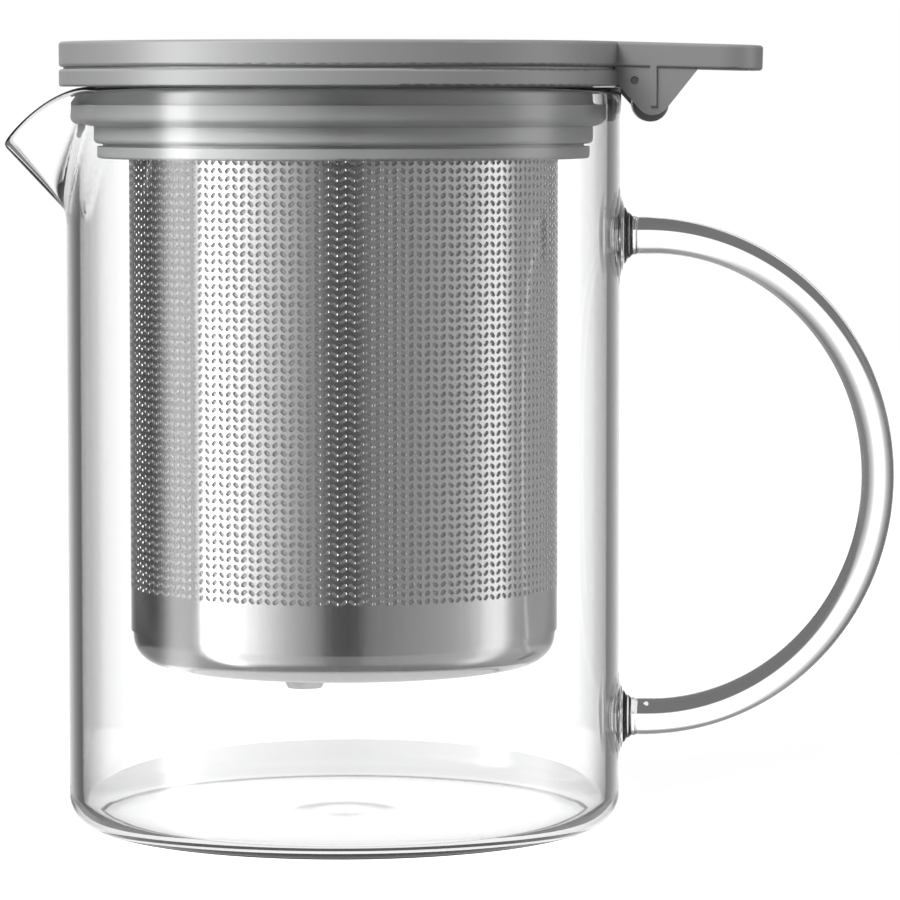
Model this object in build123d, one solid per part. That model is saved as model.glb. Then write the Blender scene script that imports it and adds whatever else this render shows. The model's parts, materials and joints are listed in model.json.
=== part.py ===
from build123d import *
from math import asin, atan2, cos, degrees, hypot, pi, radians, sin, sqrt
import os

# Glass tea maker: a blown jug with a pulled beak spout and a welded rod handle, and a lift-out infuser
# whose collar seals in the jug's rim, carries a perforated steel basket and hinges a lid with a thumb lever.
# Millimetres, +Z up, origin at the centre of the jug's base, spout towards -X, handle and lever towards +X.

# General
overrun = 2.0  # how far a cutting tool passes the faces that it cuts
press_gap = 0.01  # radial play of a pressed or welded piece
running_gap = 0.05  # radial play of a turning pin
seal_gap = 0.3  # play between a soft lip and the wall that it closes on
body_gap = 0.3  # play between pieces that move past each other

# Jug
jug_radius = 49.8  # outside of the straight wall
jug_wall = 2.4
jug_height = 132.6  # top of the rim
jug_floor = 2.4  # thickness of the base
jug_heel_radius = 5.6  # outer corner at the base
jug_inner_heel_radius = 4.6
rim_round_share = 0.48  # rim rounding, of the wall

# Spout, a pulled beak that leaves the wall below the rim and tips down at its nose
spout_reach = 11.4  # nose beyond the jug's wall
spout_drop = 10.5  # nose below the rim
spout_root_depth = 22.4  # where the beak leaves the wall, below the rim
spout_half_width = 20.0  # at the rim
spout_nose_radius = 3.2
spout_wall = 1.5
lip_run = 15.6  # from where the rim starts to dip to the nose, along X
lip_slope = 46.0  # degrees, slope of the lip at the nose

# Handle
handle_rod_diameter = 6.2
handle_top_drop = 26.6  # upper root below the rim
handle_bottom_rise = 19.4  # lower root above the base
handle_standoff = 5.0  # straight stretch from the wall to the bend
handle_bend_depth = 41.0  # rod's middle at its outermost, beyond the straight stretch
root_flare = 5.8  # spread of the welded roots beyond the rod
root_length = 2.6  # along the rod
root_fullness_share = 0.07  # 0 hugs the wall and the rod, 0.5 is a plain cone

# Infuser collar
rim_gap = 0.1  # flange above the glass rim
flange_overhang = 1.1  # flange beyond the jug's wall
flange_thickness = 3.1
flange_edge_radius = 0.5
land_step = 0.8  # raised land inside the flange's edge, which the lid rests over
neck_gap = 2.65  # neck inside the jug's bore
neck_depth = 10.1  # below the flange
neck_corner_radius = 0.9
mouth_wall = 3.6  # neck wall round the lid's plug
mouth_depth = 6.0  # straight part of the mouth
funnel_depth = 6.5  # tapered part of the mouth
spigot_step = 1.6  # spigot inside the neck
spigot_depth = 1.1  # below the neck

# Collar seal
seal_drop = 3.2  # below the flange
seal_height = 3.8
seal_straight_share = 0.5  # part of the height that stands upright at the lip
seal_groove_depth = 1.7

# Basket
sheet = 0.4  # steel thickness
basket_rim_width = 4.35  # flange that the ring clamps
basket_rim_play = 0.3  # round the flange's edge
clamp_gap = 0.1  # over the flange
ring_seam = 0.5  # shadow gap between the neck and the ring
ring_step = 0.6  # ring inside the neck's outside
ring_thickness = 2.1
ring_corner_radius = 0.5
ring_bore_gap = 0.3
sleeve_length = 84.5  # below the ring
cup_depth = 6.2  # below the sleeve
cup_overlap = 4.0  # inside the sleeve
cup_corner_radius = 5.2

# Basket slots, a herringbone of oblong holes
slot_columns = 28
slot_rows = 10
slot_length = 6.2
slot_width = 2.6
slot_lean = 45.0  # degrees
slot_top_margin = 3.0  # plain metal under the ring
slot_bottom_margin = 7.6  # plain metal over the sleeve's lower edge

# Basket feet, stamped down from the cup
foot_count = 3
foot_inset = 13.3  # feet inside the cup's wall
foot_turn = 255.0  # degrees, the first foot's place round Z
foot_top_radius = 4.0
foot_bottom_radius = 3.0
foot_height = 1.9

# Lid
lid_gap = 0.4  # lid above the flange's edge
seat_gap = 0.05  # lid above the flange's land
lid_thickness = 4.5
lid_top_wall = 1.9
lid_edge_radius = 0.6
liner_margin = 4.5  # liner beyond the collar's mouth
liner_play = 0.1
plug_gap = 0.9  # plug inside the collar's mouth
plug_depth = 1.9
plug_wall = 2.8
lid_seal_height = 0.9
lid_seal_drop = 0.5  # below the lid's underside
lid_seal_depth = 1.0

# Thumb lever
lever_length = 23.9  # beyond the flange's edge
lever_half_width = 15.0
lever_corner_radius = 8.0
lever_droop = 1.5  # degrees
lever_core_wall = 2.2  # skin left round the hollow underside
lever_core_gap = 6.4  # solid stretch from the flange's edge to the hollow
lever_rib_thickness = 1.2
lever_rib_count = 3

# Hinge
hinge_offset = 0.75  # pin beyond the flange's edge
hinge_drop = 2.4  # pin below the lid's underside
pin_radius = 0.7
knuckle_radius = 1.7
ear_thickness = 2.4
ear_inset = 0.4  # ear inside the lever's side
ear_heel_inset = 2.8  # ear's inner top corner inside the flange's edge
ear_heel_slant = 0.5  # how far the inner edge leans out on its way down
ear_shoulder_drop = 2.9  # below the lid's underside
ear_toe_length = 12.25  # ear's outer top corner beyond the flange's edge
ear_tip_radius = 3.0
ear_tip_rise = 1.0  # centre of the ear's tip above the axle
ear_rib_width = 1.1
ear_rib_drop = 1.6  # rib's end above the ear's lowest point
ear_notch_gap = 0.4  # round the ear in the flange

# Bumper roller on its axle, held in the ears' tips
bumper_offset = 3.3  # axle beyond the pin
bumper_drop = 6.5  # below the lid's underside
bumper_radius = 3.25
bumper_width = 8.0
bumper_edge_radius = 0.5
axle_radius = 1.0
axle_socket_depth = 1.4

# Heights, radii and reaches from the jug's axis that follow
jug_bore = jug_radius - jug_wall
flange_bottom = jug_height + rim_gap
flange_top = flange_bottom + flange_thickness
flange_radius = jug_radius + flange_overhang
handle_top = jug_height - handle_top_drop
handle_half_height = (handle_top - handle_bottom_rise) / 2
handle_middle_height = (handle_top + handle_bottom_rise) / 2
neck_radius = jug_bore - neck_gap
neck_bottom = flange_bottom - neck_depth
mouth_radius = neck_radius - mouth_wall
spigot_radius = neck_radius - spigot_step
spigot_bottom = neck_bottom - spigot_depth
ring_top = neck_bottom - ring_seam
ring_bottom = ring_top - ring_thickness
ring_radius = neck_radius - ring_step
ledge_top = spigot_bottom - clamp_gap - sheet
basket_rim_radius = spigot_radius - basket_rim_play
basket_radius = basket_rim_radius - basket_rim_width
ring_bore = basket_radius + ring_bore_gap
sleeve_bottom = ring_bottom - sleeve_length
cup_radius = basket_radius - sheet - press_gap
cup_bottom = sleeve_bottom - cup_depth
foot_circle_radius = cup_radius - foot_inset
lid_bottom = flange_top + lid_gap
land_top = lid_bottom - seat_gap
land_radius = flange_radius - land_step
lid_top = lid_bottom + lid_thickness
plug_radius = mouth_radius - plug_gap
liner_radius = mouth_radius + liner_margin
plug_bottom = lid_bottom - plug_depth
lever_reach = flange_radius + lever_length
lever_core_start = flange_radius + lever_core_gap
hinge_reach = flange_radius + hinge_offset
hinge_height = lid_bottom - hinge_drop
bumper_reach = hinge_reach + bumper_offset
bumper_height = lid_bottom - bumper_drop
ear_heel_reach = flange_radius - ear_heel_inset
ear_shoulder_reach = ear_heel_reach + ear_heel_slant
ear_toe_reach = flange_radius + ear_toe_length
ear_outside = lever_half_width - ear_inset
ear_inside = ear_outside - ear_thickness
knuckle_half_width = ear_inside - ear_notch_gap


def section(*points):
    """A closed outline in the XZ plane from (radius, height) points."""
    return make_face(Polyline(*points, close=True))


def corner(shape, across, up):
    """The corner of an outline nearest to a place."""
    return shape.vertices().sort_by_distance(Vector(across, up))[0]


def turned(outline):
    """An outline turned round the jug's axis."""
    return revolve(Plane.XZ * outline, Axis.Z)


def rod_across(radius, half_length):
    """A round bar along Y through the origin."""
    return Plane.XZ * extrude(Circle(radius), half_length, both=True)


def at(reach, height, across=0):
    """A place in the part's frame."""
    return Pos(reach, across, height)


# Jug

def jug_wall_solid():
    outline = section(
        (0, 0), (jug_radius, 0), (jug_radius, jug_height),
        (jug_bore, jug_height), (jug_bore, jug_floor), (0, jug_floor),
    )
    outline = fillet(corner(outline, jug_radius, 0), jug_heel_radius)
    outline = fillet(corner(outline, jug_bore, jug_floor), jug_inner_heel_radius)
    rim = [corner(outline, jug_radius, jug_height), corner(outline, jug_bore, jug_height)]
    outline = fillet(rim, jug_wall * rim_round_share)
    return turned(outline)


def beak_section(height, inset):
    """A level cut through the beak: two flanks drawn from a chord inside the jug to a round nose."""
    root_height = jug_height - spout_root_depth
    slope = spout_reach / (spout_root_depth - spout_drop)
    nose = jug_radius + slope * (height - root_height) - inset
    nose_radius = spout_nose_radius
    chord = sqrt(jug_bore**2 - spout_half_width**2)
    nose_arc = Pos(-(nose - nose_radius), 0) * Circle(nose_radius).edge()
    chord_line = Line((-chord, inset - spout_half_width), (-chord, spout_half_width - inset))
    return make_hull([nose_arc, chord_line.edge()])


def beak(inset, high):
    low = jug_height - spout_root_depth - overrun
    return loft([Pos(0, 0, low) * beak_section(low, inset), Pos(0, 0, high) * beak_section(high, inset)])


def lip_cutter():
    """Everything above the lip's line, which dips in an arc and runs straight to the nose."""
    slope = radians(lip_slope)
    arc_radius = (lip_run * sin(slope) - spout_drop * cos(slope)) / (1 - cos(slope))
    start = (-(jug_radius + spout_reach - lip_run), jug_height)
    bend = (start[0] - arc_radius * sin(slope), jug_height - arc_radius * (1 - cos(slope)))
    middle = (start[0] - arc_radius * sin(slope / 2), jug_height - arc_radius * (1 - cos(slope / 2)))
    length = spout_root_depth + lip_run
    end = (bend[0] - length * cos(slope), bend[1] - length * sin(slope))
    above = jug_height + spout_drop
    lip = ThreePointArc(start, middle, bend) + Line(bend, end)
    lip += Polyline(end, (end[0], above), (start[0], above), start)
    return extrude(Plane.XZ * make_face(lip), jug_radius, both=True)


def glass_jug():
    hollow = beak(spout_wall / cos(radians(lip_slope)), jug_height + overrun)
    bore = Pos(0, 0, jug_height / 2) * Cylinder(jug_bore, jug_height * 2)
    shell = beak(0, jug_height) - bore
    return (jug_wall_solid() + shell) - hollow - lip_cutter()


# Handle

def glass_handle():
    """A rod bent to a D between two trumpet roots that end on the jug's wall."""
    bend = jug_radius + handle_standoff
    middle = (bend, handle_middle_height)
    arc = EllipticalCenterArc(middle, handle_bend_depth, handle_half_height, -90, arc_size=180)
    start = Plane((bend, 0, handle_bottom_rise), z_dir=(1, 0, 0))
    rod = sweep(start * Circle(handle_rod_diameter / 2), path=Plane.XZ * arc)
    rod = rod + Pos(0, 0, handle_top) * handle_root() + Pos(0, 0, handle_bottom_rise) * handle_root()
    return rod - Pos(0, 0, jug_height / 2) * Cylinder(jug_radius, jug_height)


def handle_root():
    """A stub along X that spreads from the rod to the wall."""
    rod = handle_rod_diameter / 2
    inside = jug_radius - jug_wall
    wide = rod + root_flare
    flare_end = jug_radius + root_length
    pull = (jug_radius + root_length * root_fullness_share, rod + root_flare * root_fullness_share)
    spread = Bezier((jug_radius, wide), pull, (flare_end, rod))
    stub_end = jug_radius + handle_standoff
    outline = Polyline(
        (flare_end, rod), (stub_end, rod), (stub_end, 0), (inside, 0), (inside, wide), (jug_radius, wide)
    )
    return revolve(make_face(outline + spread), Axis.X)


# Infuser

def infuser_collar():
    mouth_bottom = flange_top - mouth_depth
    funnel_bottom = mouth_bottom - funnel_depth
    groove_top = flange_bottom - seal_drop
    groove_bottom = groove_top - seal_height
    groove_radius = neck_radius - seal_groove_depth
    outline = section(
        (mouth_radius, land_top), (mouth_radius, mouth_bottom), (ring_bore, funnel_bottom),
        (ring_bore, spigot_bottom), (spigot_radius, spigot_bottom), (spigot_radius, neck_bottom),
        (neck_radius, neck_bottom),
        (neck_radius, groove_bottom), (groove_radius, groove_bottom), (groove_radius, groove_top),
        (neck_radius, groove_top), (neck_radius, flange_bottom), (flange_radius, flange_bottom),
        (flange_radius, flange_top), (land_radius, flange_top), (land_radius, land_top),
    )
    outline = fillet(corner(outline, neck_radius, neck_bottom), neck_corner_radius)
    edges = [corner(outline, flange_radius, flange_bottom), corner(outline, flange_radius, flange_top)]
    outline = fillet(edges, flange_edge_radius)
    bore = at(hinge_reach, hinge_height) * rod_across(pin_radius + running_gap, ear_outside)
    return turned(outline) - ear_notches() + knuckle() - bore


def ear_notches():
    """Two slots in the flange's edge that the lid's ears turn in."""
    inner = ear_heel_reach - ear_notch_gap
    outer = flange_radius + overrun
    width = ear_thickness + ear_notch_gap + ear_notch_gap
    notch = Box(outer - inner, width, flange_thickness + overrun)
    middle = (ear_inside + ear_outside) / 2
    height = (flange_bottom + flange_top) / 2
    reach = (inner + outer) / 2
    return [at(reach, height, middle) * notch, at(reach, height, -middle) * notch]


def knuckle():
    """The hinge eye, drawn out from the flange's edge."""
    root = sqrt(flange_radius**2 - knuckle_half_width**2) - flange_thickness
    eye = Pos(hinge_reach, hinge_height) * Circle(knuckle_radius).edge()
    face = Line((root, flange_bottom + flange_edge_radius), (root, flange_top - flange_edge_radius))
    return Plane.XZ * extrude(make_hull([eye, face.edge()]), knuckle_half_width, both=True)


def collar_seal():
    """A soft ring in the neck's groove, with a lip that rolls under towards the neck."""
    top = flange_bottom - seal_drop
    bottom = top - seal_height
    root = neck_radius - seal_groove_depth
    lip = jug_bore - seal_gap
    roll = top - seal_height * seal_straight_share
    bend = (neck_radius + (lip - neck_radius) * sin(pi / 4), roll - (roll - bottom) * sin(pi / 4))
    under = Spline((lip, roll), bend, (neck_radius, bottom), tangents=((0, -1), (-1, 0)))
    outline = Polyline((neck_radius, bottom), (root, bottom), (root, top), (lip, top), (lip, roll))
    return turned(make_face(outline + under))


def basket_ring():
    """A ring that clips on the collar's spigot and holds the basket's flange on its ledge."""
    recess = spigot_radius + press_gap
    outline = section(
        (ring_bore, ring_bottom), (ring_radius, ring_bottom), (ring_radius, ring_top), (recess, ring_top),
        (recess, ledge_top), (ring_bore, ledge_top),
    )
    outline = fillet(corner(outline, ring_radius, ring_bottom), ring_corner_radius)
    return turned(outline)


def slot_cutters():
    """Oblong holes in rows, leaning left and right by turns."""
    top = ring_bottom - slot_top_margin
    bottom = sleeve_bottom + slot_bottom_margin
    step = (top - bottom) / slot_rows
    blank = extrude(Rectangle(slot_length, slot_width), sheet + overrun)
    cutters = []
    for row in range(slot_rows):
        height = top - (row + 1 / 2) * step
        for column in range(slot_columns):
            lean = slot_lean if column % 2 else -slot_lean
            turn = 360 * (column + 1 / 2) / slot_columns
            face = Plane((basket_radius - sheet - overrun / 2, 0, height), x_dir=(0, 1, 0), z_dir=(1, 0, 0))
            cutters.append(Rot(0, 0, turn) * (face * (Rot(0, 0, lean) * blank)))
    return cutters


def basket_sleeve():
    inner = basket_radius - sheet
    outline = section(
        (inner, sleeve_bottom), (basket_radius, sleeve_bottom), (basket_radius, ledge_top),
        (basket_rim_radius, ledge_top), (basket_rim_radius, ledge_top + sheet), (inner, ledge_top + sheet),
    )
    return turned(outline) - slot_cutters()


def basket_cup():
    """A drawn cup welded inside the sleeve's lower end, with feet stamped down from its floor."""
    top = sleeve_bottom + cup_overlap
    inner = cup_radius - sheet
    floor = cup_bottom + sheet
    outline = section(
        (0, cup_bottom), (cup_radius, cup_bottom), (cup_radius, top), (inner, top), (inner, floor), (0, floor)
    )
    outline = fillet(corner(outline, inner, floor), cup_corner_radius - sheet)
    outline = fillet(corner(outline, cup_radius, cup_bottom), cup_corner_radius)
    cup = turned(outline)
    foot = Pos(0, 0, cup_bottom) * foot_cone(0)
    dimple = Pos(0, 0, floor) * foot_cone(sheet)
    for place in PolarLocations(foot_circle_radius, foot_count, foot_turn):
        cup = cup + place * foot - place * dimple
    return cup


def foot_cone(inset):
    """A stamped foot hanging from the origin, or the hollow inside it."""
    low = Pos(0, 0, -foot_height) * Circle(foot_bottom_radius - inset)
    return loft([low, Circle(foot_top_radius - inset)])


# Lid

def lid_cover():
    disc = section((0, lid_bottom), (flange_radius, lid_bottom), (flange_radius, lid_top), (0, lid_top))
    edges = [corner(disc, flange_radius, lid_bottom), corner(disc, flange_radius, lid_top)]
    cover = turned(fillet(edges, lid_edge_radius)) + lever() + ears()
    recess_height = lid_thickness - lid_top_wall
    cover -= Pos(0, 0, lid_bottom + recess_height / 2) * Cylinder(liner_radius + liner_play, recess_height)
    bore = at(hinge_reach, hinge_height) * rod_across(pin_radius + press_gap, lever_half_width + overrun)
    socket_end = ear_inside + axle_socket_depth
    socket = at(bumper_reach, bumper_height) * rod_across(axle_radius + running_gap, socket_end)
    return cover - bore - socket


def lever():
    """The thumb lever, a round-cornered tab that droops a little and is hollow underneath."""
    root = sqrt(flange_radius**2 - lever_half_width**2) - lid_edge_radius
    length = lever_reach - root
    plan = Pos(root + length / 2, 0) * Rectangle(length, lever_half_width * 2)
    tips = plan.vertices().sort_by(Axis.X)[-2:]
    plan = fillet(tips, lever_corner_radius)
    tab = extrude(plan, lid_thickness)
    rims = tab.edges().filter_by(GeomType.CIRCLE) + tab.edges().filter_by(Axis.X)
    rims += tab.edges().filter_by(Axis.Y).sort_by(Axis.X)[-2:]
    tab = fillet(rims, lid_edge_radius)
    tab -= lever_core()
    droop = Pos(root, 0, lid_thickness) * Rot(0, lever_droop, 0) * Pos(-root, 0, -lid_thickness)
    return Pos(0, 0, lid_bottom) * droop * tab


def lever_core():
    """The hollow in the lever's underside, crossed by stiffening ribs."""
    end = lever_reach - lever_core_wall
    half_width = lever_half_width - lever_core_wall - ear_thickness
    length = end - lever_core_start
    middle = lever_core_start + length / 2
    plan = Pos(middle, 0) * Rectangle(length, half_width * 2)
    plan = fillet(plan.vertices(), lever_corner_radius - lever_core_wall)
    pitch = half_width * 2 / (lever_rib_count + 1)
    for index in range(lever_rib_count):
        plan -= Pos(middle, (index + 1) * pitch - half_width) * Rectangle(length, lever_rib_thickness)
    return extrude(plan, lid_thickness - lid_top_wall)


def ears():
    """Two plates under the lever that carry the pin and the bumper axle, each with a rib on its outside."""
    tip_height = bumper_height + ear_tip_rise
    tip = Pos(bumper_reach, tip_height) * Circle(ear_tip_radius).edge()
    inside = lid_bottom + lid_edge_radius
    outline = Polyline(
        (ear_toe_reach, inside), (ear_toe_reach, lid_bottom), (ear_heel_reach, lid_bottom),
        (ear_shoulder_reach, lid_bottom - ear_shoulder_drop),
    )
    top_line = Line((ear_heel_reach, inside), (ear_toe_reach, inside))
    plate = make_hull([tip] + outline.edges() + [top_line.edge()])
    rib_low = tip_height - ear_tip_radius + ear_rib_drop
    rib = Pos(bumper_reach, (rib_low + inside) / 2) * Rectangle(ear_rib_width, inside - rib_low)
    pair = []
    for side in (-1, 1):
        wall = Plane.XZ * extrude(plate, ear_thickness / 2, both=True)
        ridge = Plane.XZ * extrude(rib, ear_thickness / 2, both=True)
        pair.append(Pos(0, side * (ear_inside + ear_thickness / 2), 0) * wall)
        pair.append(Pos(0, side * (ear_inside + ear_inset + ear_thickness / 2), 0) * ridge)
    return pair


def lid_liner():
    """The inner lid plate with the plug that enters the collar's mouth."""
    roof = lid_top - lid_top_wall - liner_play
    plug_bore = plug_radius - plug_wall
    groove = plug_radius - lid_seal_depth
    groove_top = lid_bottom - lid_seal_drop
    groove_bottom = groove_top - lid_seal_height
    outline = section(
        (0, lid_bottom), (plug_bore, lid_bottom), (plug_bore, plug_bottom),
        (plug_radius, plug_bottom), (plug_radius, groove_bottom), (groove, groove_bottom),
        (groove, groove_top), (plug_radius, groove_top), (plug_radius, lid_bottom),
        (liner_radius, lid_bottom), (liner_radius, roof), (0, roof),
    )
    return turned(outline)


def lid_seal():
    top = lid_bottom - lid_seal_drop
    bottom = top - lid_seal_height
    lip = mouth_radius - seal_gap
    root = plug_radius - lid_seal_depth
    outline = section((root, bottom), (lip, bottom), (lip, top), (root, top))
    rounding = lid_seal_height * rim_round_share
    return turned(fillet([corner(outline, lip, bottom), corner(outline, lip, top)], rounding))


# Hinge and bumper

def hinge_pin():
    pin = rod_across(pin_radius, ear_outside)
    return at(hinge_reach, hinge_height) * chamfer(pin.edges().filter_by(GeomType.CIRCLE), pin_radius / 4)


def bumper_axle():
    axle = rod_across(axle_radius, ear_inside + axle_socket_depth - body_gap)
    return at(bumper_reach, bumper_height) * chamfer(axle.edges().filter_by(GeomType.CIRCLE), axle_radius / 4)


def bumper_roller():
    roller = rod_across(bumper_radius, bumper_width / 2)
    roller = fillet(roller.edges().filter_by(GeomType.CIRCLE), bumper_edge_radius)
    roller -= rod_across(axle_radius + press_gap, bumper_width)
    return at(bumper_reach, bumper_height) * roller


def lid_opening():
    """Degrees that the lid can turn before the roller comes within the body gap of the glass."""
    arm = hypot(bumper_reach - hinge_reach, hinge_height - bumper_height)
    rest = atan2(bumper_reach - hinge_reach, hinge_height - bumper_height)
    stop = asin((jug_radius + body_gap + bumper_radius - hinge_reach) / arm)
    return degrees(rest - stop)


parts = {
    "glass_jug": glass_jug(),
    "glass_handle": glass_handle(),
    "infuser_collar": infuser_collar(),
    "collar_seal": collar_seal(),
    "basket_ring": basket_ring(),
    "basket_sleeve": basket_sleeve(),
    "basket_cup": basket_cup(),
    "lid_cover": lid_cover(),
    "lid_liner": lid_liner(),
    "lid_seal": lid_seal(),
    "hinge_pin": hinge_pin(),
    "bumper_axle": bumper_axle(),
    "bumper_roller": bumper_roller(),
}

os.makedirs("parts", exist_ok=True)
for name, solid in parts.items():
    export_step(solid, f"parts/{name}.step")
print(f"lid opens {lid_opening():.1f} degrees")
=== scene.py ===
import bpy
import bmesh
import json
from math import atan2, cos, exp, hypot, pi, radians, sin, sqrt
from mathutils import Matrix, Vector


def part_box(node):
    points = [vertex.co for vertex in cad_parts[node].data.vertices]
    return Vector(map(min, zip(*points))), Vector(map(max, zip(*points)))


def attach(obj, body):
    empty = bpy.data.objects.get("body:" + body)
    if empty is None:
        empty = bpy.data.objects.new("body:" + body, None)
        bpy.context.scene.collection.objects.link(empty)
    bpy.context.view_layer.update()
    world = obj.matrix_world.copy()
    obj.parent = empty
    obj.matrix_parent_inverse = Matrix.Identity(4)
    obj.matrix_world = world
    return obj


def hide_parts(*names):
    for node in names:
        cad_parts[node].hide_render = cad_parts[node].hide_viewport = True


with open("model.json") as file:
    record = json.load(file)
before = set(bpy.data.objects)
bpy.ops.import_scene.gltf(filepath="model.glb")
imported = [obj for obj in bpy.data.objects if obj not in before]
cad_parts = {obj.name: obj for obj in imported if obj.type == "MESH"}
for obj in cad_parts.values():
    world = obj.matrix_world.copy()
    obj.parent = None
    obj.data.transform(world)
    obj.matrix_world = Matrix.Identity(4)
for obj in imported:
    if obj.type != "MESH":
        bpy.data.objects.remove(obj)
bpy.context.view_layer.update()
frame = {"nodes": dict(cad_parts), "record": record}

# Glass tea maker, metres, the jug's axis on Z, spout towards -X and handle towards +X
mm = 0.001
speck = 1e-9  # metres; a point nearer to the axis than this lies on it
allSmooth = 180  # degrees; no edge stays sharp
nodes = frame["nodes"]
scene = bpy.context.scene
scene.view_settings.view_transform = "Standard"
print("frame loaded:", len(nodes), "nodes")


# Mesh tools

def plainObject(name, verts, faces):
    mesh = bpy.data.meshes.new(name)
    mesh.from_pydata(verts, [], faces)
    mesh.validate()
    obj = bpy.data.objects.new(name, mesh)
    scene.collection.objects.link(obj)
    return obj


def finishPiece(obj, material, body, sharpAngle, replaced=()):
    obj.data.materials.clear()
    obj.data.materials.append(material)
    smoothByAngle(obj.data, sharpAngle)
    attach(obj, body)
    if replaced:
        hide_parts(*replaced)


def smoothByAngle(mesh, sharpAngle):
    # turns all faces outwards, and keeps an edge sharp where its faces bend by more than the angle
    bm = bmesh.new()
    bm.from_mesh(mesh)
    bmesh.ops.recalc_face_normals(bm, faces=bm.faces)
    for face in bm.faces:
        face.smooth = True
    for edge in bm.edges:
        edge.smooth = len(edge.link_faces) == 2 and edge.calc_face_angle(pi) < radians(sharpAngle)
    bm.to_mesh(mesh)
    bm.free()


def roundedOutline(points, steps):
    # points are (radius, height, corner radius), and each corner but the two ends may become an arc
    outline = []
    for index, (x, y, corner) in enumerate(points):
        here = Vector((x, y))
        if corner <= 0:
            outline.append((x, y))
            continue
        before = (Vector(points[index - 1][:2]) - here).normalized()
        after = (Vector(points[index + 1][:2]) - here).normalized()
        half = before.angle(after) / 2
        centre = here + (before + after).normalized() * (corner / sin(half))
        reach = corner / (sin(half) / cos(half))
        first = here + before * reach - centre
        last = here + after * reach - centre
        startTurn = atan2(first.y, first.x)
        sweep = atan2(first.x * last.y - first.y * last.x, first.dot(last))
        for step in range(steps + 1):
            turn = startTurn + sweep * step / steps
            outline.append((centre.x + corner * cos(turn), centre.y + corner * sin(turn)))
    return outline


def latheMesh(outline, steps, closed):
    # a ring when the outline is a closed loop, a solid when it starts and ends on the axis
    verts, faces, rows = [], [], []
    for radius, height in outline:
        if radius < speck:
            rows.append([len(verts)])
            verts.append((0, 0, height))
            continue
        row = []
        for step in range(steps):
            turn = 2 * pi * step / steps
            row.append(len(verts))
            verts.append((radius * cos(turn), radius * sin(turn), height))
        rows.append(row)
    pairs = list(zip(rows, rows[1:]))
    if closed:
        pairs.append((rows[-1], rows[0]))
    for low, high in pairs:
        for step in range(steps):
            after = (step + 1) % steps
            if len(low) == 1:
                faces.append((low[0], high[after], high[step]))
            elif len(high) == 1:
                faces.append((low[step], low[after], high[0]))
            else:
                faces.append((low[step], low[after], high[after], high[step]))
    return verts, faces


# Shader tools

def addGroup(name, inputs, outputs):
    tree = bpy.data.node_groups.new(name, "ShaderNodeTree")
    for socketName, kind, value in inputs:
        socket = tree.interface.new_socket(socketName, in_out="INPUT", socket_type=kind)
        socket.default_value = value
    for socketName, kind in outputs:
        tree.interface.new_socket(socketName, in_out="OUTPUT", socket_type=kind)
    return tree, tree.nodes.new("NodeGroupInput"), tree.nodes.new("NodeGroupOutput")


def addNode(tree, kind, values=None, **settings):
    node = tree.nodes.new(kind)
    for key, value in settings.items():
        setattr(node, key, value)
    for key, value in (values or {}).items():
        node.inputs[key].default_value = value
    return node


def mathNode(tree, operation, *values):
    node = addNode(tree, "ShaderNodeMath", operation=operation)
    for index, value in enumerate(values):
        if isinstance(value, (int, float)):
            node.inputs[index].default_value = value
        else:
            tree.links.new(value, node.inputs[index])
    return node.outputs[0]


def newMaterial(name):
    material = bpy.data.materials.new(name)
    material.use_nodes = True
    tree = material.node_tree
    return material, tree, tree.nodes["Principled BSDF"]


def toSurface(tree, shader):
    tree.links.new(shader.outputs[0], tree.nodes["Material Output"].inputs["Surface"])


def twoTone(tree, factor, color, darkShare):
    # from a darker share of the colour to the colour itself
    tint = addNode(tree, "ShaderNodeMix", data_type="RGBA")
    tint.inputs["A"].default_value = (*[channel * darkShare for channel in color], 1)
    tint.inputs["B"].default_value = (*color, 1)
    tree.links.new(factor, tint.inputs["Factor"])
    return tint.outputs["Result"]


def addRelief(tree, shader, height, strength, depth):
    relief = addNode(tree, "ShaderNodeBump", {"Strength": strength, "Distance": depth})
    tree.links.new(height, relief.inputs["Height"])
    tree.links.new(relief.outputs["Normal"], shader.inputs["Normal"])


def clearWhere(tree, factor, shader):
    # the shader, but nothing where the factor is 1
    clear = addNode(tree, "ShaderNodeBsdfTransparent")
    mix = addNode(tree, "ShaderNodeMixShader")
    tree.links.new(factor, mix.inputs[0])
    tree.links.new(shader.outputs[0], mix.inputs[1])
    tree.links.new(clear.outputs[0], mix.inputs[2])
    toSurface(tree, mix)


# Materials

moulded = {
    "grainDetail": 3.0, "grainRoughness": 0.6, "cloudScale": 60.0, "cloudDetail": 2.0,
    "roughSwing": 0.12, "reliefDepth": 0.05 * mm,
}
drawn = {
    "streakScale": (1400, 1400, 25), "streakDetail": 4.0, "darkShare": 0.93,
    "bump": 0.15, "reliefDepth": 0.01 * mm,
}
woven = {
    "threadStep": 0.18 * mm, "radius": 38 * mm, "darkShare": 0.6, "bump": 0.2, "reliefDepth": 0.02 * mm,
}


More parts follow.
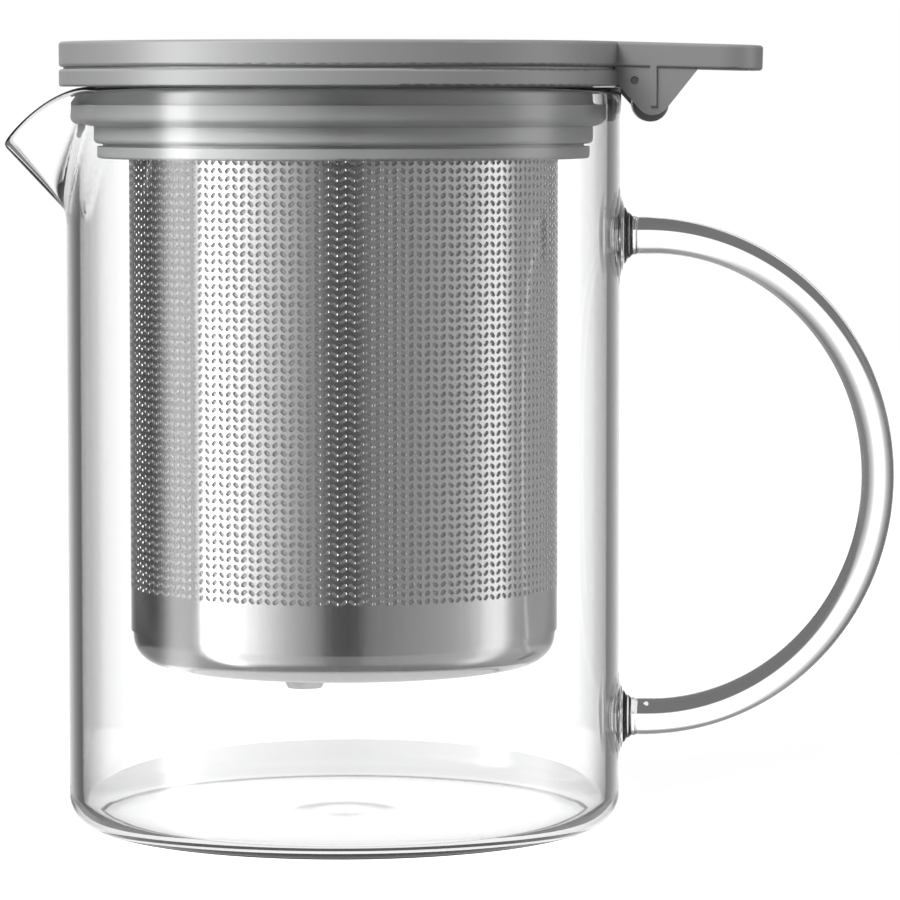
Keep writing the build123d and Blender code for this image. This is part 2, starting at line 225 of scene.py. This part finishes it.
def grainGroup():
    # colour drift and fine spark-eroded grain of a satin moulding
    tree, given, result = addGroup(
        "mouldedGrain",
        [("Color", "NodeSocketColor", (0.5, 0.5, 0.5, 1)), ("Roughness", "NodeSocketFloat", 0.4),
         ("Grain Size", "NodeSocketFloat", 2500.0), ("Drift", "NodeSocketFloat", 0.05)],
        [("Color", "NodeSocketColor"), ("Roughness", "NodeSocketFloat"), ("Height", "NodeSocketFloat")],
    )
    place = addNode(tree, "ShaderNodeTexCoord")
    fine = {"Detail": moulded["grainDetail"], "Roughness": moulded["grainRoughness"]}
    broad = {"Scale": moulded["cloudScale"], "Detail": moulded["cloudDetail"]}
    grain = addNode(tree, "ShaderNodeTexNoise", fine)
    cloud = addNode(tree, "ShaderNodeTexNoise", broad)
    drift = given.outputs["Drift"]
    lowest = mathNode(tree, "MULTIPLY", drift, -0.5)
    shade = mathNode(tree, "MULTIPLY_ADD", cloud.outputs["Fac"], drift, lowest)
    tint = addNode(tree, "ShaderNodeVectorMath", operation="SCALE")
    swing = moulded["roughSwing"]
    rough = mathNode(tree, "MULTIPLY_ADD", grain.outputs["Fac"], swing, given.outputs["Roughness"])
    link = tree.links.new
    link(place.outputs["Object"], grain.inputs["Vector"])
    link(place.outputs["Object"], cloud.inputs["Vector"])
    link(given.outputs["Grain Size"], grain.inputs["Scale"])
    link(given.outputs["Color"], tint.inputs[0])
    link(mathNode(tree, "ADD", shade, 1.0), tint.inputs["Scale"])
    link(tint.outputs[0], result.inputs["Color"])
    link(rough, result.inputs["Roughness"])
    link(grain.outputs["Fac"], result.inputs["Height"])
    return tree


def mouldedMaterial(name, color, roughness, grainSize, bump, pearl):
    material, tree, shader = newMaterial(name)
    grain = addNode(tree, "ShaderNodeGroup", node_tree=mouldedGrain)
    grain.inputs["Color"].default_value = (*color, 1)
    grain.inputs["Roughness"].default_value = roughness
    grain.inputs["Grain Size"].default_value = grainSize
    tree.links.new(grain.outputs["Color"], shader.inputs["Base Color"])
    tree.links.new(grain.outputs["Roughness"], shader.inputs["Roughness"])
    addRelief(tree, shader, grain.outputs["Height"], bump, moulded["reliefDepth"])
    shader.inputs["Metallic"].default_value = pearl
    return material


def steelMaterial(name, color, roughness, streak):
    # rolled or drawn stainless: streaks run along Z
    material, tree, shader = newMaterial(name)
    place = addNode(tree, "ShaderNodeTexCoord")
    stretch = addNode(tree, "ShaderNodeMapping", {"Scale": drawn["streakScale"]})
    noise = addNode(tree, "ShaderNodeTexNoise", {"Scale": 1.0, "Detail": drawn["streakDetail"]})
    rough = addNode(tree, "ShaderNodeMapRange")
    rough.inputs["To Min"].default_value = roughness - streak
    rough.inputs["To Max"].default_value = roughness + streak
    link = tree.links.new
    link(place.outputs["Object"], stretch.inputs["Vector"])
    link(stretch.outputs["Vector"], noise.inputs["Vector"])
    link(noise.outputs["Fac"], rough.inputs["Value"])
    link(rough.outputs["Result"], shader.inputs["Roughness"])
    link(twoTone(tree, noise.outputs["Fac"], color, drawn["darkShare"]), shader.inputs["Base Color"])
    addRelief(tree, shader, noise.outputs["Fac"], drawn["bump"], drawn["reliefDepth"])
    shader.inputs["Metallic"].default_value = 1.0
    return material


def gauzeMaterial(name, color, roughness):
    # fine woven wire whose threads run round and up the basket, with painted shade between the threads
    material, tree, shader = newMaterial(name)
    place = addNode(tree, "ShaderNodeTexCoord")
    split = addNode(tree, "ShaderNodeSeparateXYZ")
    tree.links.new(place.outputs["Object"], split.inputs[0])
    x, y, z = split.outputs
    perTurn = round(2 * pi * woven["radius"] / woven["threadStep"])
    warp = mathNode(tree, "SINE", mathNode(tree, "MULTIPLY", mathNode(tree, "ARCTAN2", y, x), perTurn))
    weft = mathNode(tree, "SINE", mathNode(tree, "MULTIPLY", z, 2 * pi / woven["threadStep"]))
    thread = mathNode(tree, "MAXIMUM", warp, weft)
    # painted shade: the base colour darkens where the threads dip, between the wires
    tree.links.new(twoTone(tree, thread, color, woven["darkShare"]), shader.inputs["Base Color"])
    addRelief(tree, shader, thread, woven["bump"], woven["reliefDepth"])
    shader.inputs["Roughness"].default_value = roughness
    shader.inputs["Metallic"].default_value = 1.0
    return material


def glassMaterial(name, color, ior):
    # shadow rays pass straight on, so that the lamps reach what stands behind the glass
    material, tree, shader = newMaterial(name)
    shader.inputs["Base Color"].default_value = (*color, 1)
    shader.inputs["Transmission Weight"].default_value = 1.0
    shader.inputs["Roughness"].default_value = 0.0
    shader.inputs["IOR"].default_value = ior
    path = addNode(tree, "ShaderNodeLightPath")
    clearWhere(tree, path.outputs["Is Shadow Ray"], shader)
    return material


mouldedGrain = grainGroup()
greyPlastic = mouldedMaterial(
    "greyPlastic", color=(0.4, 0.402, 0.405), roughness=0.38, grainSize=2600, bump=0.25, pearl=0.44)
greySilicone = mouldedMaterial(
    "greySilicone", color=(0.38, 0.382, 0.385), roughness=0.4, grainSize=1800, bump=0.3, pearl=0.42)
basketSteel = steelMaterial("basketSteel", color=(0.62, 0.62, 0.62), roughness=0.13, streak=0.03)
basketGauze = gauzeMaterial("basketGauze", color=(0.7, 0.7, 0.7), roughness=0.55)
pinSteel = steelMaterial("pinSteel", color=(0.6, 0.6, 0.61), roughness=0.18, streak=0.04)
clearGlass = glassMaterial("clearGlass", color=(0.995, 0.998, 0.997), ior=1.47)
finishes = {
    "clear_glass": clearGlass, "grey_plastic": greyPlastic, "grey_silicone": greySilicone,
    "basket_steel": basketSteel, "pin_steel": pinSteel,
}
for subpart in frame["record"]["subparts"]:
    cadMesh = nodes[subpart["node"]].data
    cadMesh.materials.clear()
    cadMesh.materials.append(finishes[subpart["material_slot"]])
print("materials made:", len(finishes))


# The jug and its handle, one fused glass piece

jugLow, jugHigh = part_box("glass_jug")
handleLow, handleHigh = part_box("glass_handle")
jug = {
    "radius": jugHigh.y, "wall": 2.4 * mm, "height": jugHigh.z, "floor": 2.1 * mm,
    "heel": 5.6 * mm, "innerHeel": 3.8 * mm, "rimShare": 0.49, "flatShare": 0.85,
    "baseShares": (0, 0.25, 0.5, 0.75), "turns": 360, "arcSteps": 10, "longestRun": 1.8 * mm,
    "sharpAngle": 50,
    # faint rings left in the floor by the blowing
    "ripple": 0.05 * mm, "rippleStep": 13.0 * mm, "rippleReach": 13.0 * mm,
    "floorRings": 36, "floorRingStep": 1.0 * mm,
    "spoutReach": -jugLow.x - jugHigh.y - 0.8 * mm, "spoutDrop": 9.9 * mm,
    "spoutRoot": jugHigh.z - 22.4 * mm, "spoutHalfAngle": 29.0, "spoutRootShare": 0.3,
    "noseSoftness": 0.16, "flankPower": 1.7, "dipPower": 1.3, "thinningShare": 0.3,
    "feeler": 0.01 * mm, "feelerTurn": 0.01,  # steps to feel the outer face's slope with
    # hollows in the bore behind the handle's roots; they start past a share of the wall's thickness
    "dimple": 0.3 * mm, "dimpleSize": 4.2 * mm, "outerShare": 0.6,
    "wallShare": 1.01,  # of the wall's thickness, up to which a point belongs to the wall
}
handle = {
    "rootRadius": 3.3 * mm, "outerRadius": 2.95 * mm, "taperPower": 0.6,
    "upperFlare": 7.0 * mm, "lowerFlare": 5.6 * mm, "flareLength": 3.6 * mm, "flarePower": 2.0,
    "flareSteps": 64, "weldRings": 6.0, "weldRise": 0.1 * mm, "weldPower": 0.5,
    "sink": 0.12 * mm, "sinkShare": 0.55,  # how deep the flare and the rod's end lie in the wall
    "standoff": 5.0 * mm, "middle": (handleLow.z + handleHigh.z) / 2 - 0.2 * mm,
    "halfHeight": (handleHigh.z - handleLow.z) / 2 - 8.65 * mm, "reach": handleHigh.x - 2.6 * mm,
    "arcSteps": 96, "sides": 48,
}


def jugOutline():
    radius, height, floor = jug["radius"], jug["height"], jug["floor"]
    rim = jug["wall"] * jug["rimShare"]
    bore = radius - jug["wall"]
    base = [(radius * share, 0) for share in jug["baseShares"]]
    shaped = roundedOutline([
        (radius * jug["flatShare"], 0, 0), (radius, 0, jug["heel"]), (radius, height, rim),
        (bore, height, rim), (bore, floor, jug["innerHeel"]), (bore * jug["flatShare"], floor, 0),
    ], jug["arcSteps"])
    rings = [step * jug["floorRingStep"] for step in range(jug["floorRings"], -1, -1)]
    return divided(base + shaped + [(ring, floor + floorRipple(ring)) for ring in rings], jug["longestRun"])


def floorRipple(radius):
    fade = exp(-(radius / jug["rippleReach"]) ** 2)
    return jug["ripple"] * fade * cos(2 * pi * radius / jug["rippleStep"])


def divided(outline, longest):
    # long runs get more points so that the spout can bend them
    result = [outline[0]]
    for (x, y), (nextX, nextY) in zip(outline, outline[1:]):
        pieces = max(1, int(hypot(nextX - x, nextY - y) / longest))
        for step in range(1, pieces + 1):
            share = step / pieces
            result.append((x + (nextX - x) * share, y + (nextY - y) * share))
    return result


def lipHeight():
    # the rim's bead starts here and moves as a whole
    return jug["height"] - jug["wall"] / 2


def wallPoint(turn, height):
    # a place on the jug's outer face, at an angle from -X, with the share of the beak's full pull there
    rise = (height - jug["spoutRoot"]) / (lipHeight() - jug["spoutRoot"])
    rootShare = jug["spoutRootShare"]
    half = radians(jug["spoutHalfAngle"]) * (rootShare + (1 - rootShare) * rise)
    outward = down = pull = 0
    if rise > 0 and abs(turn) < half:
        soft = jug["noseSoftness"]
        slope = (hypot(turn / half, soft) - soft) / (hypot(1, soft) - soft)
        pull = (1 - slope) ** jug["flankPower"]
        outward = rise * jug["spoutReach"] * pull
        down = rise * jug["spoutDrop"] * pull ** jug["dipPower"]
    radius = jug["radius"] + outward
    return Vector((-radius * cos(turn), radius * sin(turn), height - down)), pull


def beakPoint(turn, height, depth):
    # a place in the wall at a depth square to the outer face, so that the beak keeps an even wall
    base = min(height, lipHeight())
    here, pull = wallPoint(turn, base)
    small, smallTurn = jug["feeler"], jug["feelerTurn"]
    up = (wallPoint(turn, base + small)[0] - wallPoint(turn, base - small)[0]).normalized()
    along = wallPoint(turn + smallTurn, base)[0] - wallPoint(turn - smallTurn, base)[0]
    face = up.cross(along).normalized()
    return here - face * depth * (1 - jug["thinningShare"] * pull) + up * (height - base)


def rootHeights():
    return [handle["middle"] + side * handle["halfHeight"] for side in (1, -1)]


def dimpleDepth(y, z):
    # shallow hollow that the hot handle roots leave in the bore
    spread = jug["dimpleSize"] ** 2
    return sum(jug["dimple"] * exp(-(y * y + (z - root) ** 2) / spread) for root in rootHeights())


def jugMesh():
    verts, faces = latheMesh(jugOutline(), jug["turns"], closed=False)
    shaped = []
    for x, y, z in verts:
        radius = hypot(x, y)
        depth = jug["radius"] - radius
        inWall = depth < jug["wall"] * jug["wallShare"]
        if inWall and x < 0 and z > jug["spoutRoot"]:
            shaped.append(tuple(beakPoint(atan2(y, -x), z, depth)))
            continue
        grown = 1
        if inWall and x > 0 and depth > jug["wall"] * jug["outerShare"]:
            grown += dimpleDepth(y, z) / radius
        shaped.append((x * grown, y * grown, z))
    return shaped, faces


def rootStations(height, flare):
    # one flared end of the rod, from inside the wall outwards: places with the rod's radius there
    rod, steps, power = handle["rootRadius"], handle["flareSteps"], handle["flarePower"]
    start = jug["radius"] - jug["wall"] * handle["sinkShare"]
    stations = [(Vector((start, 0, height)), rod + flare)]
    for step in range(steps + 1):
        share = step / steps
        out = jug["radius"] - handle["sink"] + handle["flareLength"] * share ** power
        fade = sin(pi * share) ** handle["weldPower"]
        ring = handle["weldRise"] * sin(2 * pi * handle["weldRings"] * share) * fade
        stations.append((Vector((out, 0, height)), rod + flare * (1 - share) ** power + ring))
    return stations


def handlePath():
    # the rod's centre line with its radius at each place; the ends lie inside the wall
    rod, steps = handle["rootRadius"], handle["arcSteps"]
    bend = jug["radius"] + handle["standoff"]
    depth = handle["reach"] - bend
    arc = []
    for step in range(steps + 1):
        turn = pi * step / steps
        place = Vector((bend + depth * sin(turn), 0, handle["middle"] + handle["halfHeight"] * cos(turn)))
        arc.append((place, rod + (handle["outerRadius"] - rod) * sin(turn) ** handle["taperPower"]))
    flares = (handle["upperFlare"], handle["lowerFlare"])
    upper, lower = [rootStations(*end) for end in zip(rootHeights(), flares)]
    return upper + arc + lower[::-1]


def handleMesh():
    stations = handlePath()
    sides = handle["sides"]
    across = Vector((0, 1, 0))
    rootCount = handle["flareSteps"] + 2
    final = len(stations) - 1
    verts, faces = [], []
    for index, (place, radius) in enumerate(stations):
        before = stations[max(index - 1, 0)][0]
        after = stations[min(index + 1, final)][0]
        along = (after - before).normalized()
        up = along.cross(across).normalized()
        for side in range(sides):
            turn = 2 * pi * side / sides
            point = place + (up * cos(turn) + across * sin(turn)) * radius
            if index < rootCount or index > final - rootCount:  # the roots hug the round wall
                point.x -= jug["radius"] - sqrt(jug["radius"]**2 - point.y**2)
            verts.append(tuple(point))
    for index in range(final):
        low, high = index * sides, (index + 1) * sides
        for side in range(sides):
            after = (side + 1) % sides
            faces.append((low + side, low + after, high + after, high + side))
    faces.append(tuple(range(sides))[::-1])
    faces.append(tuple(range(final * sides, (final + 1) * sides)))
    return verts, faces


def fused(first, second):
    # union of two closed pieces into the first, with all faces turned outwards before it
    for obj in (first, second):
        smoothByAngle(obj.data, allSmooth)
    union = first.modifiers.new("union", "BOOLEAN")
    union.operation = "UNION"
    union.solver = "EXACT"
    union.object = second
    evaluated = first.evaluated_get(bpy.context.evaluated_depsgraph_get())
    mesh = bpy.data.meshes.new_from_object(evaluated)
    first.modifiers.clear()
    first.data = mesh
    bpy.data.objects.remove(second)


jugGlass = plainObject("jugGlass", *jugMesh())
handleRod = plainObject("handleRod", *handleMesh())
fused(jugGlass, handleRod)
finishPiece(jugGlass, clearGlass, "jug", jug["sharpAngle"], ("glass_jug", "glass_handle"))
print("jug blown:", len(jugGlass.data.polygons), "faces")


# The perforated sleeve, in quarters, and the gauze behind it

sleeveLow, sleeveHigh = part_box("basket_sleeve")
sleeve = {
    "radius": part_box("basket_cup")[1].x + 0.41 * mm, "sheet": 0.3 * mm, "lower": sleeveLow.z,
    "upper": sleeveHigh.z, "bottom": sleeveLow.z + 7.6 * mm, "top": sleeveHigh.z - 1.0 * mm,
    "columns": 164, "rows": 54, "quarters": 4, "sharpAngle": 20,
    "slotLength": 1.32 * mm, "slotWidth": 0.8 * mm, "shoulderAngle": 58.0, "lean": 40.0,
    "dishShares": [(1.0, 0.0), (0.78, 0.3), (0.72, 1.0)],  # each slot's size at shares of the sheet's depth
    "perMetre": 1e7,  # places that agree to a ten-millionth of a metre are one point
}
gauze = {"gap": 0.02 * mm, "wire": 0.08 * mm, "lowLap": 1.0 * mm, "highLap": 0.5 * mm, "sharpAngle": 35}


def slotOutline(lean):
    # eight points round a slot with round ends, in the sheet's plane, from its leaning tip
    cosine, sine = cos(radians(lean)), sin(radians(lean))
    half, wide = sleeve["slotLength"] / 2, sleeve["slotWidth"] / 2
    bend = radians(sleeve["shoulderAngle"])
    shoulder = (half - wide + wide * cos(bend), wide * sin(bend))
    upper = [(half, 0), shoulder, (0, wide), (-shoulder[0], shoulder[1])]
    points = upper + [(-x, -y) for x, y in upper]
    return [(x * cosine - y * sine, x * sine + y * cosine) for x, y in points]


def cellRing(lean, width, height):
    # the cell's corners and edge middles, from the corner that the slot's tip leans to
    side, top = width / 2, height / 2
    ring = [
        (side, 0), (side, top), (0, top), (-side, top),
        (-side, 0), (-side, -top), (0, -top), (side, -top),
    ]
    first = 1 if lean > 0 else -1
    return ring[first:] + ring[:first]


def sleeveQuarter(quarter):
    # places are (distance round the sleeve, height), at a share of the sheet's depth
    rows, columns = sleeve["rows"], sleeve["columns"]
    lower, bottom, top, upper = [sleeve[level] for level in ("lower", "bottom", "top", "upper")]
    width = sleeve["radius"] * 2 * pi / columns
    height = (top - bottom) / rows
    share = columns // sleeve["quarters"]
    start, end = quarter * share, (quarter + 1) * share
    verts, faces, known = [], [], {}

    def vert(place, depth):
        around, z = place
        key = (round(around * sleeve["perMetre"]), round(z * sleeve["perMetre"]), depth)
        if key not in known:
            radius = sleeve["radius"] - depth * sleeve["sheet"]
            turn = around / sleeve["radius"]
            known[key] = len(verts)
            verts.append((radius * cos(turn), radius * sin(turn), z))
        return known[key]

    def band(first, second):
        # quads between two rings of points
        for index in range(len(first)):
            faces.append((first[index], first[index - 1], second[index - 1], second[index]))

    def strip(places):
        # the sheet's edge along a list of places
        for here, there in zip(places, places[1:]):
            faces.append((vert(here, 0), vert(there, 0), vert(there, 1), vert(here, 1)))

    for column in range(start, end):
        lean = sleeve["lean"] if column % 2 else -sleeve["lean"]
        slot = slotOutline(lean)
        ring = cellRing(lean, width, height)
        middle = (column + 0.5) * width
        for row in range(rows):
            centre = bottom + (row + 0.5) * height
            outside, inside = [[vert((middle + x, centre + z), side) for x, z in ring] for side in (0, 1)]
            edge = outside
            for size, depth in sleeve["dishShares"]:
                mouth = [vert((middle + x * size, centre + z * size), depth) for x, z in slot]
                band(edge, mouth)
                edge = mouth
            band(edge, inside)
        for half in (0, 1):
            left = (column + half / 2) * width
            right = (column + (half + 1) / 2) * width
            for low, high in ((lower, bottom), (top, upper)):
                corners = ((left, low), (right, low), (right, high), (left, high))
                for side in (0, 1):
                    faces.append(tuple(vert(corner, side) for corner in corners))
            strip([(left, lower), (right, lower)])
            strip([(left, upper), (right, upper)])
    heights = [lower] + [bottom + step * height / 2 for step in range(2 * rows + 1)] + [upper]
    for around in (start * width, end * width):
        strip([(around, z) for z in heights])
    return verts, faces


def gauzeOutline():
    outer = sleeve["radius"] - sleeve["sheet"] - gauze["gap"]
    inner = outer - gauze["wire"]
    low, high = sleeve["bottom"] - gauze["lowLap"], sleeve["top"] + gauze["highLap"]
    return [(outer, low), (outer, high), (inner, high), (inner, low)]


for quarter in range(sleeve["quarters"]):
    sheet = plainObject(f"perforatedSleeve_{quarter + 1}", *sleeveQuarter(quarter))
    finishPiece(sheet, basketSteel, "infuser", sleeve["sharpAngle"], ("basket_sleeve",))
print("sleeve pierced:", sleeve["rows"] * sleeve["columns"], "slots")

innerGauze = plainObject("innerGauze", *latheMesh(gauzeOutline(), 2 * sleeve["columns"], closed=True))
finishPiece(innerGauze, basketGauze, "infuser", gauze["sharpAngle"])
print("gauze set behind the slots")


# Studio

studio = {
    "eye": Vector((19.1 * mm, -851 * mm, 132.8 * mm)), "pitch": 4.4,
    "lens": 189.2, "sensor": 36, "clipStart": 0.01,
    # degrees of elevation where the wall of light starts and ends
    "lowest": -14.0, "lower": -10.5, "upper": 22.0, "uppermost": 36.0,
    "below": 0.17, "above": 0.3, "ambient": 0.04,  # levels under and over the wall, and for dull surfaces
    # degrees from the camera's side up to which glass shows a white room, through one wall and through two
    "frontRoom": (50, 70), "sideRoom": (138, 148),
    "anyBounce": 0.5, "oneWall": 1.5, "twoWalls": 3.5,  # between whole counts of surfaces that a ray met
    # degrees of elevation between which the wall's image in the steel fades, and its share of the level
    "mirrorFade": (-55, -35), "mirrorShare": 0.7,
    "key": (-43.0, 48.0, 21.5), "fill": (112.0, 20.0, 7.5),  # turn, rise, power
    "lampDistance": 1.2, "lampSize": 0.6,
    "matHalfWidth": 56 * mm, "matFront": -48.5 * mm, "matBack": 110 * mm, "matHeight": -0.3 * mm,
    "matSteps": 96, "matGlow": 0.93,
    # painted thin shadow: a darker ring in the mat's glow where the base's edge meets the mat
    "edgeRadius": 44.7 * mm, "edgeHalf": 0.7 * mm, "paintedEdgeShadow": 0.85,
    "floorHalf": 1.5, "floorHeight": -0.6 * mm, "floorNear": 0.15, "floorFar": 0.45,
    "floorGlow": 0.89, "floorTone": 0.3,
}
# the wall of light round the object: (degrees from the camera's side, negative to the left, level)
horizon = [
    # bright field behind the object, then a black flag
    (-180, 1.3), (-175, 1.3), (-168, 0.95), (-162, 0.55), (-154, 0.28), (-146, 0.13), (-118, 0.08),
    # softbox on the left
    (-96, 0.09), (-88, 0.12), (-84, 0.4), (-80, 1.6), (-76, 4.1), (-71, 5.1), (-66, 4.3), (-61, 2.4),
    (-55, 1.75), (-46, 1.38), (-30, 0.76), (-12, 0.35),
    # camera's gap and a faint fill
    (-2, 0.11), (3, 0.1), (14, 0.27), (30, 0.36), (60, 0.54),
    # strip on the right, a dim stretch, then the bright field again
    (76, 0.9), (84, 1.4), (91, 1.5), (96, 1.1), (100, 0.75), (106, 0.42), (121, 0.28), (146, 0.2),
    (154, 0.3), (162, 0.55), (168, 0.95), (175, 1.3), (180, 1.3),
]


def studioCamera():
    data = bpy.data.cameras.new("photoCamera")
    data.lens = studio["lens"]
    data.sensor_width = studio["sensor"]
    data.clip_start = studio["clipStart"]
    camera = bpy.data.objects.new("photoCamera", data)
    camera.location = studio["eye"]
    camera.rotation_euler = (radians(90 - studio["pitch"]), 0, 0)
    scene.collection.objects.link(camera)
    scene.camera = camera


def studioLamp(name):
    # soft lamp for the mouldings; the wall of light already stands for it in reflections
    turn, rise, power = studio[name]
    data = bpy.data.lights.new(name, "AREA")
    data.size = studio["lampSize"]
    data.energy = power
    lamp = bpy.data.objects.new(name, data)
    turn, rise = radians(turn), radians(rise)
    aim = Vector((sin(turn) * cos(rise), -cos(turn) * cos(rise), sin(rise)))
    lamp.location = aim * studio["lampDistance"]
    lamp.rotation_euler = lamp.location.to_track_quat("Z", "Y").to_euler()
    lamp.visible_glossy = False
    lamp.visible_transmission = False
    scene.collection.objects.link(lamp)


def stagePiece(name, outline, material):
    piece = plainObject(name, outline, [tuple(range(len(outline)))])
    piece.data.materials.append(material)
    piece.visible_shadow = False
    return piece


def studioMat():
    # oval white mat under and behind the base, seen only in and through the glass, for a bright thick base,
    # with a painted shadow ring
    middle = (studio["matFront"] + studio["matBack"]) / 2
    half = (studio["matBack"] - studio["matFront"]) / 2
    oval = []
    for step in range(studio["matSteps"]):
        turn = 2 * pi * step / studio["matSteps"]
        oval.append((studio["matHalfWidth"] * cos(turn), middle + half * sin(turn), studio["matHeight"]))
    material, tree = newMaterial("whiteMat")[:2]
    glow = addNode(tree, "ShaderNodeEmission")
    place = addNode(tree, "ShaderNodeTexCoord")
    away = addNode(tree, "ShaderNodeVectorMath", operation="LENGTH")
    tree.links.new(place.outputs["Object"], away.inputs[0])
    # painted shade: the glow dims in a thin ring under the base's edge, standing in for its contact shadow
    edge = mathNode(tree, "COMPARE", away.outputs["Value"], studio["edgeRadius"], studio["edgeHalf"])
    level = mathNode(tree, "MULTIPLY_ADD", edge, -studio["paintedEdgeShadow"], studio["matGlow"])
    tree.links.new(level, glow.inputs["Strength"])
    toSurface(tree, glow)
    mat = stagePiece("whiteMat", oval, material)
    mat.visible_camera = False


def paleFloor():
    # white floor with a faint shadow; clear from below, and left out of the reflections
    half, height = studio["floorHalf"], studio["floorHeight"]
    corners = [(-half, -half, height), (half, -half, height), (half, half, height), (-half, half, height)]
    material, tree, shader = newMaterial("paleFloor")
    shader.inputs["Base Color"].default_value = (*[studio["floorTone"]] * 3, 1)
    shader.inputs["Roughness"].default_value = 1.0
    shader.inputs["Specular IOR Level"].default_value = 0.0
    shader.inputs["Emission Strength"].default_value = 1.0
    place = addNode(tree, "ShaderNodeTexCoord")
    away = addNode(tree, "ShaderNodeVectorMath", operation="LENGTH")
    glow = addNode(tree, "ShaderNodeMapRange")
    glow.inputs["From Min"].default_value = studio["floorNear"]
    glow.inputs["From Max"].default_value = studio["floorFar"]
    glow.inputs["To Min"].default_value = studio["floorGlow"]
    side = addNode(tree, "ShaderNodeNewGeometry")
    tree.links.new(place.outputs["Object"], away.inputs[0])
    tree.links.new(away.outputs["Value"], glow.inputs["Value"])
    tree.links.new(glow.outputs["Result"], shader.inputs["Emission Color"])
    clearWhere(tree, side.outputs["Backfacing"], shader)
    floor = stagePiece("paleFloor", corners, material)
    floor.visible_diffuse = False
    floor.visible_glossy = False
    floor.visible_transmission = False


def horizonCurve(tree, turn):
    # the wall's level at an angle in radians from the camera's side
    ramp = addNode(tree, "ShaderNodeFloatCurve")
    curve = ramp.mapping.curves[0]
    ramp.mapping.use_clip = False
    curve.points[0].location = (0, horizon[0][1])
    curve.points[1].location = (1, horizon[-1][1])
    for angle, level in horizon[1:-1]:
        curve.points.new((angle + 180) / 360, level)
    for point in curve.points:
        point.handle_type = "AUTO_CLAMPED"
    ramp.mapping.update()
    tree.links.new(mathNode(tree, "MULTIPLY_ADD", turn, 1 / (2 * pi), 0.5), ramp.inputs["Value"])
    return ramp.outputs[0]


def smoothStep(tree, value, low, high):
    # 0 below one value and 1 above another
    step = addNode(tree, "ShaderNodeMapRange", interpolation_type="SMOOTHSTEP")
    step.inputs["From Min"].default_value = low
    step.inputs["From Max"].default_value = high
    tree.links.new(value, step.inputs["Value"])
    return step.outputs["Result"]


def riseStep(tree, z, low, high):
    # 0 below an elevation in degrees and 1 above another, from the direction's Z
    return smoothStep(tree, z, sin(radians(low)), sin(radians(high)))


def within(tree, angle, low, high):
    # 1 up to an angle in degrees and 0 past another
    return mathNode(tree, "SUBTRACT", 1.0, smoothStep(tree, angle, radians(low), radians(high)))


def switched(tree, factor, level, other):
    # the level, but the other one where the factor is 1
    mix = addNode(tree, "ShaderNodeMix", data_type="FLOAT")
    mix.inputs["B"].default_value = other
    tree.links.new(factor, mix.inputs["Factor"])
    tree.links.new(level, mix.inputs["A"])
    return mix.outputs["Result"]


def clearView(tree, path, turn, steep):
    # 1 where a ray that only went through glass leaves for the white room, so that glass stays clear
    bounces = mathNode(tree, "ADD", path.outputs["Glossy Depth"], path.outputs["Diffuse Depth"])
    straight = mathNode(tree, "LESS_THAN", bounces, studio["anyBounce"])
    through = path.outputs["Transmission Depth"]
    pane = mathNode(tree, "GREATER_THAN", through, studio["oneWall"])
    both = mathNode(tree, "GREATER_THAN", through, studio["twoWalls"])
    off = mathNode(tree, "ABSOLUTE", turn)
    front = within(tree, off, *studio["frontRoom"])
    wide = mathNode(tree, "MAXIMUM", within(tree, off, *studio["sideRoom"]), steep)
    byPane = mathNode(tree, "MULTIPLY", pane, front)
    byBoth = mathNode(tree, "MULTIPLY", both, wide)
    return mathNode(tree, "MULTIPLY", straight, mathNode(tree, "MAXIMUM", byPane, byBoth))


def mirrorView(tree, path, z):
    # share of the wall of light that steel shows below the horizon, as over a white floor, down to an angle
    mirrored = mathNode(tree, "GREATER_THAN", path.outputs["Glossy Depth"], studio["anyBounce"])
    through = path.outputs["Transmission Depth"]
    bare = mathNode(tree, "LESS_THAN", through, studio["anyBounce"])
    jugged = mathNode(tree, "GREATER_THAN", through, studio["twoWalls"])
    onSteel = mathNode(tree, "MULTIPLY", mirrored, mathNode(tree, "MAXIMUM", bare, jugged))
    share = mathNode(tree, "MULTIPLY", riseStep(tree, z, *studio["mirrorFade"]), studio["mirrorShare"])
    return mathNode(tree, "MULTIPLY", onSteel, share)


def studioWorld():
    world = bpy.data.worlds.new("studio")
    scene.world = world
    world.use_nodes = True
    tree = world.node_tree
    background = tree.nodes["Background"]
    background.inputs["Color"].default_value = (1, 1, 1, 1)
    place = addNode(tree, "ShaderNodeTexCoord")
    split = addNode(tree, "ShaderNodeSeparateXYZ")
    path = addNode(tree, "ShaderNodeLightPath")
    tree.links.new(place.outputs["Generated"], split.inputs[0])
    x, y, z = split.outputs
    low = riseStep(tree, z, studio["lowest"], studio["lower"])
    high = riseStep(tree, z, studio["upper"], studio["uppermost"])
    turn = mathNode(tree, "ARCTAN2", x, mathNode(tree, "MULTIPLY", y, -1.0))
    curve = horizonCurve(tree, turn)
    lit = mathNode(tree, "MULTIPLY", curve, mathNode(tree, "SUBTRACT", low, high))
    beneath = mathNode(tree, "SUBTRACT", 1.0, low)
    glint = mathNode(tree, "MULTIPLY", mirrorView(tree, path, z), curve)
    under = mathNode(tree, "MULTIPLY", beneath, mathNode(tree, "ADD", glint, studio["below"]))
    over = mathNode(tree, "MULTIPLY", high, studio["above"])
    dressed = mathNode(tree, "ADD", lit, mathNode(tree, "ADD", under, over))
    clear = clearView(tree, path, turn, mathNode(tree, "MAXIMUM", beneath, high))
    shown = switched(tree, clear, dressed, 1.0)
    soft = switched(tree, path.outputs["Is Diffuse Ray"], shown, studio["ambient"])
    seen = switched(tree, path.outputs["Is Camera Ray"], soft, 1.0)
    tree.links.new(seen, background.inputs["Strength"])


studioCamera()
studioLamp("key")
studioLamp("fill")
studioMat()
paleFloor()
studioWorld()
print("studio lit")
